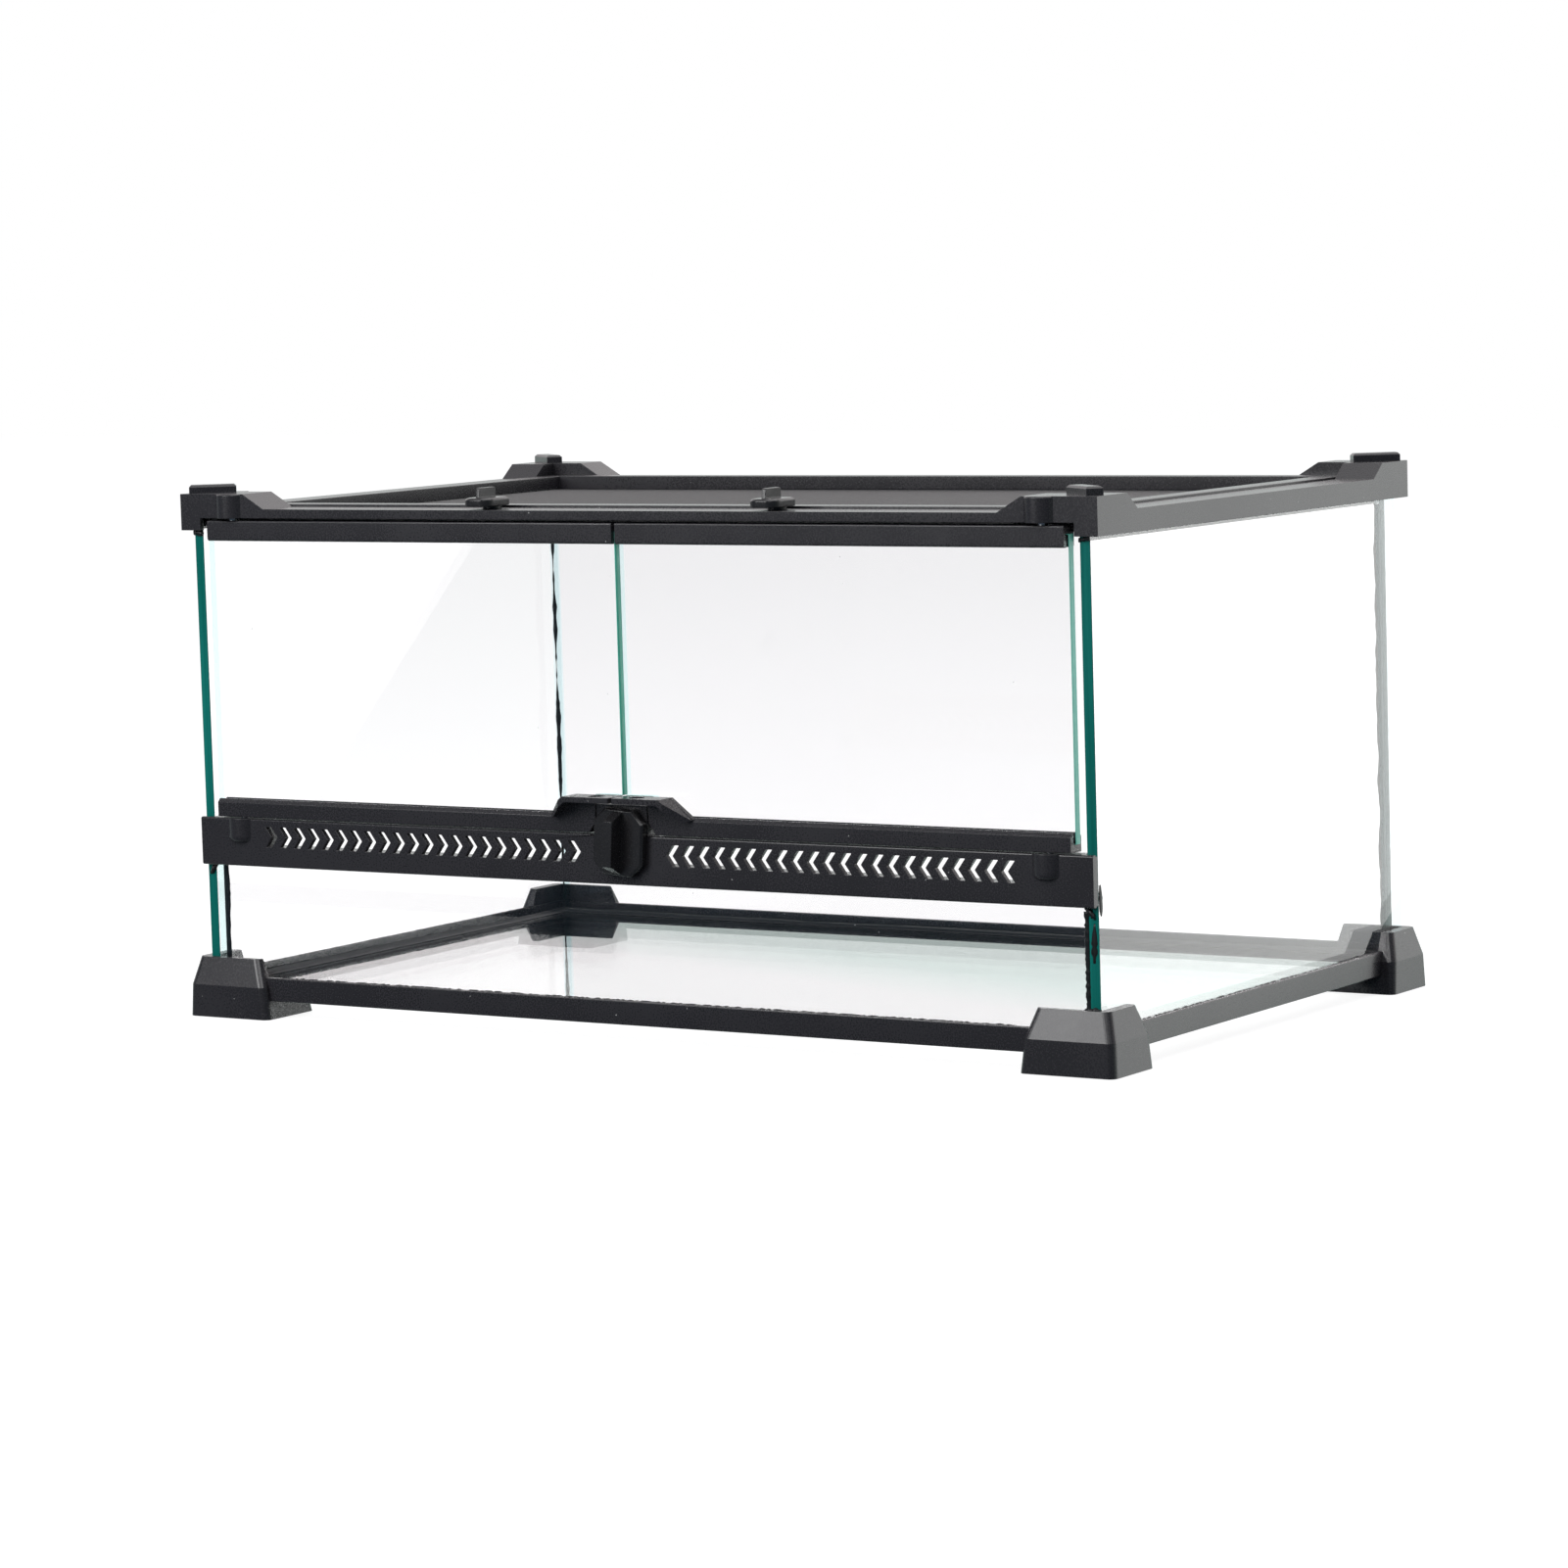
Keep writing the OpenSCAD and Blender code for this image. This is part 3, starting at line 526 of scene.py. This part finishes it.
# %% [markdown]
# ## Silicone beads
# A bead is pressed into each inside corner and drawn smooth, so its face is hollow and
# its width wanders. Each one is a row of small cross-sections joined into a skin. It
# stands a hair off the glass, because two surfaces in one place flicker in a render.

# %% A bead from cross-sections
rng = random.Random(7)
OFF_GLASS = 0.00006
HOLLOW = 0.93


def bead_skin(name, stations, closed):
    """Joins cross-sections, each a list of points, into one skin with closed ends."""
    mesh = bpy.data.meshes.new(name)
    work = bmesh.new()
    rings = [[work.verts.new(p) for p in ring] for ring in stations]
    pairs = list(zip(rings, rings[1:])) + ([(rings[-1], rings[0])] if closed else [])
    for one, two in pairs:
        for i in range(len(one)):
            j = (i + 1) % len(one)
            work.faces.new((one[i], one[j], two[j], two[i]))
    if not closed:
        work.faces.new(rings[0])
        work.faces.new(rings[-1])
    bmesh.ops.recalc_face_normals(work, faces=work.faces)
    for face in work.faces:
        face.smooth = True
    work.to_mesh(mesh)
    work.free()
    mesh.materials.append(silicone)
    piece = bpy.data.objects.new(name, mesh)
    bpy.context.scene.collection.objects.link(piece)
    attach(piece, "tank")
    return piece


def hollow_section(corner, one, two, width):
    """A hollow fillet between two walls that run from corner along one and two."""
    points = [corner + (one + two) * OFF_GLASS]
    for i in range(7):
        turn = math.radians(15 * i)
        reach = 1 - HOLLOW * math.sin(turn), 1 - HOLLOW * math.cos(turn)
        points.append(corner + one * max(OFF_GLASS, width * reach[0])
                      + two * max(OFF_GLASS, width * reach[1]))
    return points


print("beads stand", round(OFF_GLASS / MM, 2), "mm off the glass")

# %% Upright corner beads
# The rear left bead was run so thin that it breaks off in places, as the picture shows.
BEAD_WIDTHS_MM = {"front_left": 3.4, "front_right": 3.4,
                  "rear_left": 1.15, "rear_right": 3.3}
WANDERS_MM = {"front_left": 0.25, "front_right": 0.25, "rear_left": 0.5, "rear_right": 0.3}
NARROWEST_MM, WIDEST_MM = 0.25, 3.9
KEPT_WANDER = 0.8
inner_low = Vector((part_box("left_pane")[1].x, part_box("lower_front_pane")[1].y, 0))
inner_high = Vector((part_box("right_pane")[0].x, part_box("rear_pane")[0].y, 0))
for side, wall_x, inward_x in (("left", inner_low.x, 1), ("right", inner_high.x, -1)):
    for end, wall_y, inward_y in (("front", inner_low.y, 1), ("rear", inner_high.y, -1)):
        corner = f"{end}_{side}"
        low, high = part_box(f"{corner}_seal")
        rows = []
        wander = 0.0
        count = 90 if end == "rear" else 30
        for i in range(count + 1):
            wander = KEPT_WANDER * wander + rng.uniform(-1, 1) * WANDERS_MM[corner]
            width = max(NARROWEST_MM, BEAD_WIDTHS_MM[corner] + wander)
            z = low.z + (high.z - low.z) * i / count
            rows.append(hollow_section(
                Vector((wall_x, wall_y, z)), Vector((inward_x, 0, 0)),
                Vector((0, inward_y, 0)), min(WIDEST_MM, width) * MM))
        bead = bead_skin(f"{corner}_seal_bead", rows, False)
        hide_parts(f"{corner}_seal")
        print(bead.name, len(bead.data.polygons), "faces")

# %% Floor bead
FLOOR_BEAD = 2.7 * MM
low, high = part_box("floor_seal")
corners = [(inner_low.x, inner_low.y), (inner_high.x, inner_low.y),
           (inner_high.x, inner_high.y), (inner_low.x, inner_high.y)]
inward = [(1, 1), (-1, 1), (-1, -1), (1, -1)]
rows = []
wander = 0.0
for k in range(4):
    start, end = Vector((*corners[k], low.z)), Vector((*corners[(k + 1) % 4], low.z))
    across = (Vector((*inward[k], 0)) + Vector((*inward[(k + 1) % 4], 0))) / 2
    steps = 70 if k % 2 == 0 else 42
    for i in range(steps):
        wander = KEPT_WANDER * wander + rng.uniform(-0.2, 0.2) * MM
        way = Vector((*inward[k], 0)) if i == 0 else across
        rows.append(hollow_section(start.lerp(end, i / steps), way, Vector((0, 0, 1)),
                                   FLOOR_BEAD + wander * (i > 0)))
floor_bead = bead_skin("floor_seal_bead", rows, True)
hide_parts("floor_seal")
print("floor bead:", len(rows), "sections")

# %% [markdown]
# ## Squeezed-out silicone
# The panes are bedded in silicone, and some of it was pressed out: jagged lumps below the
# front caps and below the ends of the vent rail, a smear on the outside of the right pane,
# patches at the front right corner, and a thin broken line along the top of the base
# frame. One flat patch on the front edge of the right pane is painted shade, not silicone:
# it darkens the teal edge where the corner seal shades the glass. Each of them is a string
# of rings whose radius jumps about.


# %% A lumpy string of silicone
def lumpy_string(name, start, end, across, out_way, radius, count, jumps, swell=0.0):
    """Rings from start to end. A short out_way flattens them, swell rounds the ends off."""
    rows = []
    for i in range(count + 1):
        share = i / count
        body = 1 - swell * abs(2 * share - 1) ** 2
        lump = radius * max(0.12, body * (1 + rng.uniform(-jumps, jumps)))
        middle = start.lerp(end, share)
        rows.append([middle + across * lump * math.cos(math.radians(45 * k))
                     + out_way * lump * math.sin(math.radians(45 * k)) for k in range(8)])
    return bead_skin(name, rows, False)


PANE_THICK = 5 * MM
X_WAY, Y_WAY, Z_WAY = Vector((1, 0, 0)), Vector((0, 1, 0)), Vector((0, 0, 1))
glass_low, glass_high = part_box("left_pane")[0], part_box("right_pane")[1]
top_frame_low_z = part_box("top_frame")[0].z
rail_low_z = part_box("vent_rail")[0].z
front_y = glass_low.y - 0.5 * MM
for side, sign, lumps in (("left", -1, 1.25 * MM), ("right", 1, 0.9 * MM)):
    outer_x = sign * glass_high.x
    inner_x = sign * (glass_high.x - PANE_THICK)
    lumpy_string(f"cap_squeeze_{side}",
                 Vector((outer_x, front_y, top_frame_low_z + 1.6 * MM)),
                 Vector((inner_x, front_y, top_frame_low_z + 0.9 * MM)),
                 Z_WAY, Y_WAY * 0.7, radius=lumps, count=14, jumps=0.45)
    lumpy_string(f"rail_squeeze_{side}",
                 Vector((inner_x - sign * 1.5 * MM, front_y, rail_low_z)),
                 Vector((inner_x + sign * 3.4 * MM, front_y, rail_low_z - 4.2 * MM)),
                 Z_WAY, Y_WAY * 0.5, radius=1.7 * MM, count=9, jumps=0.35, swell=0.5)
print("lumps below the caps from", round(top_frame_low_z / MM, 1), "mm up")

# %% Smear and joints of the right pane
# Two panes end on the right pane in a thin layer of silicone, seen through the glass.
lumpy_string("right_pane_smear",
             Vector((glass_high.x, glass_low.y + 2.2 * MM, rail_low_z - 4 * MM)),
             Vector((glass_high.x, glass_low.y + 1.6 * MM, rail_low_z + 9.5 * MM)),
             Y_WAY, X_WAY * 0.2, radius=1.7 * MM, count=12, jumps=0.12, swell=0.6)
for pane in ("rear_pane", "lower_front_pane"):
    low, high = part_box(pane)
    joint = Vector((inner_high.x - 0.25 * MM, (low.y + high.y) / 2, 0))
    lumpy_string(f"{pane}_joint",
                 joint + Z_WAY * (low.z + 1 * MM), joint + Z_WAY * (high.z - 1 * MM),
                 Y_WAY, X_WAY * 0.04, radius=2.4 * MM, count=70, jumps=0.05)
    print(pane, "joint is", round((high.z - low.z) / MM - 2, 1), "mm high")

# %% Patches at the front right corner, one of them painted shade
corner_front = Vector((inner_high.x - 0.9 * MM, glass_low.y + 0.2 * MM, 0))
foot_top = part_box("foot_front_right")[1].z
lumpy_string("front_joint_right",
             corner_front + Z_WAY * (foot_top - 1 * MM),
             corner_front + Z_WAY * (rail_low_z - 2 * MM),
             X_WAY, Y_WAY * 0.3, radius=1.25 * MM, count=60, jumps=0.3)
# The flat patch on the front edge of the right pane is painted shade, not silicone: a dark
# stand-in for the shade that the corner seal casts in the glass edge.
lumpy_string("painted_seal_shade_right",
             Vector((glass_high.x - 2.6 * MM, glass_low.y, foot_top + 20 * MM)),
             Vector((glass_high.x - 2.2 * MM, glass_low.y, foot_top + 37 * MM)),
             X_WAY, Y_WAY * 0.15, radius=1.5 * MM, count=12, jumps=0.35, swell=0.7)
lumpy_string("foot_squeeze_right",
             Vector((inner_high.x - 3 * MM, glass_low.y, foot_top - 0.3 * MM)),
             Vector((glass_high.x + 0.3 * MM, glass_low.y, foot_top - 0.1 * MM)),
             Z_WAY, Y_WAY, radius=1.1 * MM, count=10, jumps=0.4, swell=0.5)
print("patches above the front right foot, whose top is", round(foot_top / MM, 1), "mm up")

# %% Broken line along the base frame
# It stops short of the feet, by more along the front, where they reach further in.
SIDE_STOP, FRONT_STOP = 34 * MM, 44 * MM
LINE_RADIUS = 0.42 * MM
RING_STEP = 1.3 * MM
base_low, base_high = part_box("base_frame")
line_z = base_high.z - 0.15 * MM
off = 0.35 * MM
runs = {
    "right": (Vector((glass_high.x + off, base_low.y + SIDE_STOP, line_z)),
              Vector((glass_high.x + off, base_high.y - SIDE_STOP, line_z)), X_WAY),
    "left": (Vector((glass_low.x - off, base_low.y + SIDE_STOP, line_z)),
             Vector((glass_low.x - off, base_high.y - SIDE_STOP, line_z)), X_WAY),
    "front": (Vector((base_low.x + FRONT_STOP, glass_low.y - off, line_z)),
              Vector((base_high.x - FRONT_STOP, glass_low.y - off, line_z)), Y_WAY),
}
for side, (start, end, across) in runs.items():
    lumpy_string(f"base_squeeze_{side}", start, end, across, Z_WAY, radius=LINE_RADIUS,
                 count=round((end - start).length / RING_STEP), jumps=0.6)
print("squeezed-out silicone along", sorted(runs))

# %% [markdown]
# ## Screen
# The screen is a net of thin coated wires, about 1.7 mm apart. It is too fine for a
# texture to hold up close, so each wire is real: one layer runs front to back and one
# side to side, and they touch where they cross. Straight wires are used, because the
# weave's waves are far too small to see.

# %% Wires of the screen
WIRE_PITCH = 1.7 * MM
WIRE_RADIUS = 0.19 * MM
END_GAP = 0.0002
NESTING = 0.9
low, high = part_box("lid_mesh")
middle_z = (low.z + high.z) / 2


def wire_layer(work, count, start, end, step, z):
    """Adds count straight six-sided wires from start to end, each moved on by step."""
    along = (end - start).normalized()
    side = along.cross(Z_WAY)
    for i in range(count):
        ends = []
        for tip in (start, end):
            middle = tip + step * i + Vector((0, 0, z))
            ends.append([work.verts.new(
                middle + side * math.cos(math.radians(60 * k)) * WIRE_RADIUS
                + Z_WAY * math.sin(math.radians(60 * k)) * WIRE_RADIUS)
                for k in range(6)])
        for k in range(6):
            m = (k + 1) % 6
            work.faces.new((ends[0][k], ends[0][m], ends[1][m], ends[1][k]))
        work.faces.new(ends[0])
        work.faces.new(ends[1])


screen_mesh = bpy.data.meshes.new("screen_wires")
work = bmesh.new()
across_count = int((high.x - low.x - 2 * WIRE_RADIUS) / WIRE_PITCH)
along_count = int((high.y - low.y - 2 * WIRE_RADIUS) / WIRE_PITCH)
first_x = (low.x + high.x - (across_count - 1) * WIRE_PITCH) / 2
first_y = (low.y + high.y - (along_count - 1) * WIRE_PITCH) / 2
wire_layer(work, across_count, Vector((first_x, low.y + END_GAP, 0)),
           Vector((first_x, high.y - END_GAP, 0)), Vector((WIRE_PITCH, 0, 0)),
           middle_z + WIRE_RADIUS * NESTING)
wire_layer(work, along_count, Vector((low.x + END_GAP, first_y, 0)),
           Vector((high.x - END_GAP, first_y, 0)), Vector((0, WIRE_PITCH, 0)),
           middle_z - WIRE_RADIUS * NESTING)
bmesh.ops.recalc_face_normals(work, faces=work.faces)
work.to_mesh(screen_mesh)
work.free()
screen_mesh.materials.append(wire_coat)
screen = bpy.data.objects.new("screen_wires", screen_mesh)
bpy.context.scene.collection.objects.link(screen)
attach(screen, "lid")
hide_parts("lid_mesh")
print("screen:", across_count, "by", along_count, "wires")
